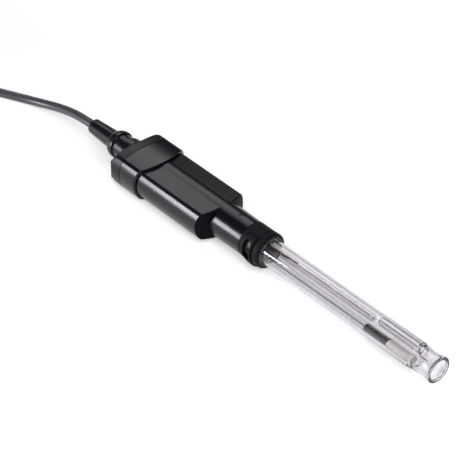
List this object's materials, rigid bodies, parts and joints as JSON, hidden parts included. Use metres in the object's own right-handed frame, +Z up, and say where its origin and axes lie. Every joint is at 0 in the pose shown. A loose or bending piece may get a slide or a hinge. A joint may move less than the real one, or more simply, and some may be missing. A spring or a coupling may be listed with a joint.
{
  "type": "ion-selective electrode",
  "caption": "Combination electrode for measuring ions: clear glass shaft, turning refill ring over a fill hole, flattened head and a lead with a round screw plug.",
  "frame": {"origin": "on the surface it lies on, under the middle of the electrode's length without its lead", "axes": "+X along the shaft towards the sensing tip, +Z up from the surface, +Y to the left of the shaft seen from the head"},
  "size_m": [0.4466, 0.0383, 0.0181],
  "materials": {
    "housing_plastic": "fine spark-textured black moulding",
    "band_plastic": "satin black moulding",
    "ring_plastic": "matt black moulding",
    "seat_plastic": "smooth dark grey moulding",
    "relief_rubber": "smooth black rubber",
    "cable_jacket": "smooth dark grey jacket",
    "seal_rubber": "black seal",
    "clear_glass": "clear polished glass",
    "inner_glass": "clear thin glass",
    "junction_ceramic": "porous beige ceramic",
    "cartridge_brown": "dark brown",
    "silver_wire": "bright wire",
    "lead_insulation": "brown wire insulation",
    "potting_resin": "cured dark resin",
    "board_laminate": "green solder mask",
    "chip_epoxy": "moulded black epoxy",
    "hank_strap": "matt black strap",
    "plug_plastic": "black moulding",
    "nut_metal": "nickel-plated brass",
    "contact_metal": "gold-plated contacts"
  },
  "bodies": {
    "electrode": {"upper_shell": "housing_plastic", "lower_shell": "housing_plastic", "badge_band": "band_plastic", "cap_gasket": "seal_rubber", "rear_cap": "band_plastic", "strain_relief": "relief_rubber", "circuit_board": "board_laminate", "board_chips": "chip_epoxy", "lead_wires": "lead_insulation", "shaft_leads": "lead_insulation", "ring_seat": "seat_plastic", "seat_o_rings": "seal_rubber", "nose_ring": "ring_plastic", "outer_glass": "clear_glass", "sensing_membrane": "inner_glass", "sensor_tube": "inner_glass", "sensor_bead": "chip_epoxy", "sensor_leads": "lead_insulation", "reference_tube": "inner_glass", "reference_wire": "silver_wire", "reference_cartridge": "cartridge_brown", "junction_plug": "junction_ceramic", "element_tube": "inner_glass", "element_wire": "silver_wire", "potting_plug": "potting_resin", "cable": "cable_jacket", "cable_tail": "cable_jacket", "cable_hank": "cable_jacket", "hank_tie": "hank_strap", "plug_boot": "relief_rubber", "plug_body": "plug_plastic", "plug_insert": "plug_plastic", "plug_pins": "contact_metal", "plug_seal": "seal_rubber"},
    "refill_ring": {"refill_ring": "ring_plastic"},
    "coupling_nut": {"coupling_nut": "nut_metal"}
  },
  "joints": [
    {"name": "ring_turn", "type": "hinge", "parent": "electrode", "child": "refill_ring", "pos_m": [0.00385, 0, 0.00885], "axis": [-1, 0, 0], "range_deg": [0, 90]},
    {"name": "nut_turn", "type": "hinge", "parent": "electrode", "child": "coupling_nut", "pos_m": [-0.3305, -0.014, 0.00745], "axis": [-1, 0, 0], "continuous": true}
  ]
}
